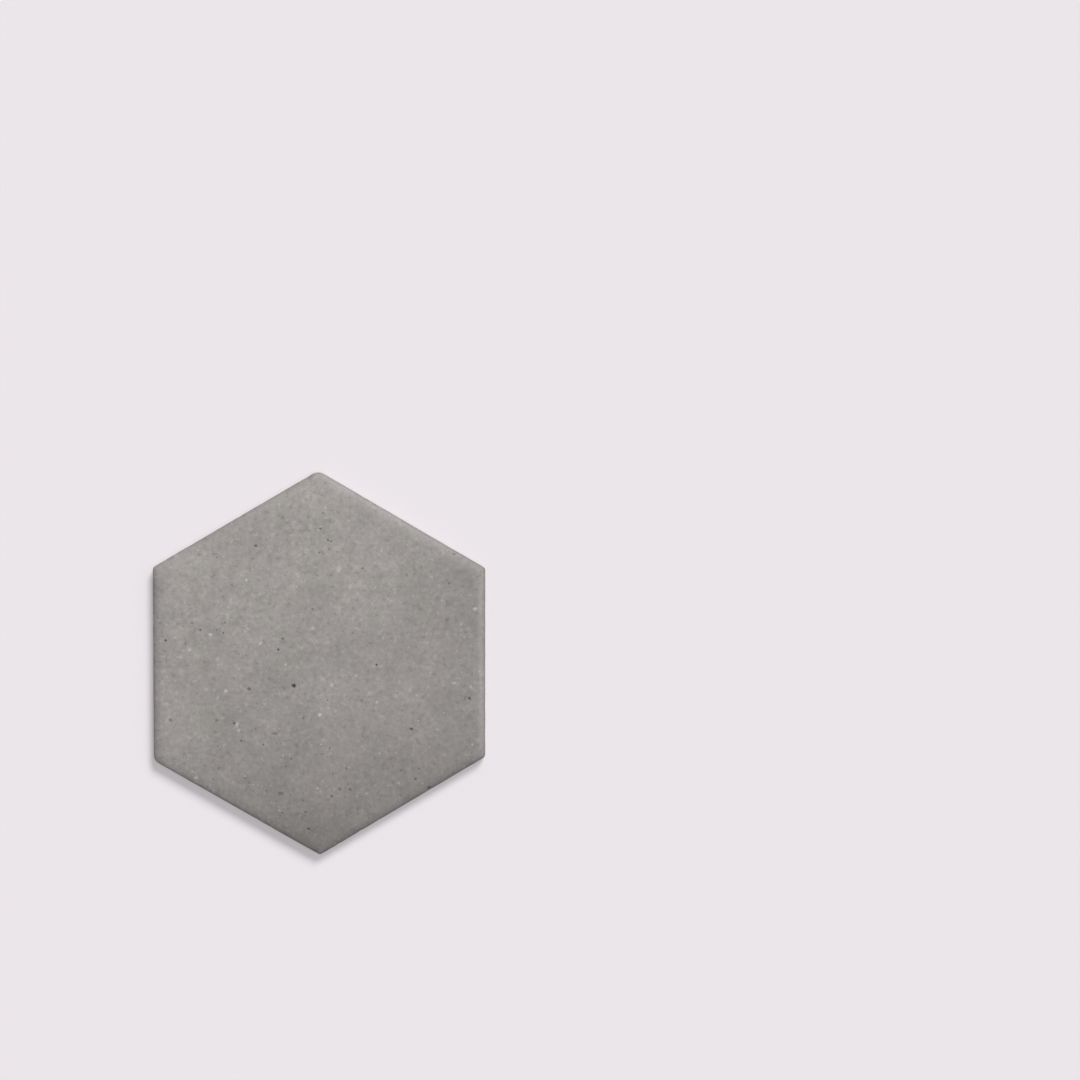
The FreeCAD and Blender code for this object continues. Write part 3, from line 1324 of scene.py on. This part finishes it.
# The pale grains, in the same way
FACE_GRAINS = (
    (-43.3, 50.1, 0.70, 0.54), (-64.8, 17.3, 0.78, 0.56, 1.5, 0),
    (-77.4, 8.1, 0.70, 0.46, 1.5, 45), (-34.8, 12.0, 0.66, 0.48, 1.6, 40),
    (-19.7, -0.7, 0.62, 0.50), (-55.7, -16.6, 0.78, 0.58), (-48.8, -36.9, 0.80, 0.42, 1.6, 75),
    (-47.9, -40.2, 0.75, 0.36), (0.8, -30.9, 0.68, 0.64, 1.5, 25), (22.5, -7.5, 0.95, 0.28),
    (7.9, -13.0, 0.90, 0.33), (81.5, -11.9, 0.68, 0.36, 1.7, 0), (91.3, -14.0, 0.70, 0.34),
    (94.1, 32.7, 0.80, 0.55, 1.4, 10), (12.0, 56.4, 1.45, 0.29), (37.9, 67.5, 0.60, 0.48),
    (35.1, -23.3, 0.66, 0.34), (-68.0, -46.3, 0.88, 0.19), (-73.4, -68.7, 0.70, 0.50, 1.5, 0),
    (48.2, -71.8, 0.62, 0.29), (-17.2, -54.9, 0.55, 0.18, 1.8, 90), (-0.6, -75.1, 0.62, 0.36),
    (1.8, -48.7, 0.60, 0.32), (36.6, -54.1, 0.60, 0.30), (28.8, -78.2, 0.58, 0.28),
    (92.4, -48.7, 0.62, 0.28), (96.6, -4.9, 0.62, 0.32), (58.8, -19.3, 0.58, 0.26),
)

# The broad patches: place in millimetres, radius, and how much paler, or darker below 0
FIRED_PATCHES = (
    (0, 35, 17, -0.09), (-65, 25, 16, -0.09), (60, 2, 17, -0.07), (-42, 79, 15, -0.08),
    (86, 51, 16, -0.11), (52, -58, 16, -0.06), (-46, -67, 12, -0.04), (-96, 6, 12, -0.07),
    (-6, -102, 15, -0.16), (14, -92, 14, -0.08), (-28, -42, 13, 0.05), (-50, -25, 16, 0.06),
    (35, 57, 16, 0.07), (0, -5, 13, 0.035), (-45, 55, 12, 0.045), (72, -40, 14, 0.04),
    (94, -12, 14, 0.05), (-76, -58, 18, 0.08), (-95, -44, 12, 0.07), (12, 90, 14, 0.07),
    (-16, 100, 14, 0.08), (-97, -42, 8, 0.09), (-88, -61, 9, 0.045), (-8, 107, 8, 0.08),
    (-27, 97, 7, 0.05), (92, 59, 7, -0.07), (95, 12, 7, -0.05), (-52, 79, 7, -0.05),
    (54, -78, 7, -0.05), (-15, -13, 4, -0.07), (-38, -40, 3, -0.10), (-52, -32, 4, -0.08),
    (-61, 20, 2.5, -0.08), (-68, 0.5, 2, -0.09), (56, -39, 3, -0.06), (26, -81, 3.5, -0.08),
    (-48, -40, 3.5, 0.09), (59, -19, 2, 0.08), (61, -43, 3, 0.06), (-57, -17, 3.5, 0.06),
    (71, 8, 4, 0.05),
)

FACE_SPOTS = (*(Spot(SpotKind.PIT, *row) for row in FACE_PITS),
              *(Spot(SpotKind.GRAIN, *row) for row in FACE_GRAINS))


@dataclass(frozen=True)
class FloorTile:
    """The whole tile as one closed skin: face, rolled edge, upright sides, bevel and back."""

    outline: Outline
    thickness: float
    roll_width: float = 7.0 * MM
    roll_depth: float = 2.5 * MM
    corner_growth: float = 4.0 * MM
    patches: tuple[FiredPatch, ...] = tuple(FiredPatch(*row) for row in FIRED_PATCHES)
    work: HandWork = HandWork(spots=FACE_SPOTS)
    clay: FiredClay = FiredClay()
    crease: float = 40.0

    def build(self) -> bpy.types.Object:
        """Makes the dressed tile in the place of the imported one.

        Returns:
            The tile's object.
        """
        skin = Skin()
        face = Face(self.outline, self.thickness, self.roll_width, self.corner_growth)
        edge = Edge(self.outline, self.thickness, self.roll_width, self.roll_depth,
                    self.corner_growth, steps=face.rings)
        loop = face.add_to(skin, self.work)
        loop = edge.add_to(skin, loop, self.work)
        skin.marks.update(self.work.marks(skin.points, skin.marks["rim"]))
        KeyedBack(self.outline).add_to(skin, loop)
        skin.marks["fired"] = sum(patch.at(skin.points) for patch in self.patches)
        piece = skin.to_object("clay_tile", self.crease)
        piece.data.materials.append(self.clay.build())
        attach(piece, "root")
        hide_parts("tile_body")
        log.info("clay_tile: %d points, %d triangles", len(skin.points), skin.triangles())
        return piece


def main() -> None:
    """Builds the tile, the studio and the view."""
    logging.basicConfig(level=logging.INFO, format="%(name)s: %(message)s")
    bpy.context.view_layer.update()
    bpy.context.scene.view_settings.view_transform = "Standard"
    low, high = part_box("tile_body")
    FloorTile(Outline((high.x - low.x) / 2), high.z).build()
    Studio().build()
    PhotoView().place(high.x - low.x, high.z)
    log.info("studio and view are in place")


if __name__ == "__main__":
    main()
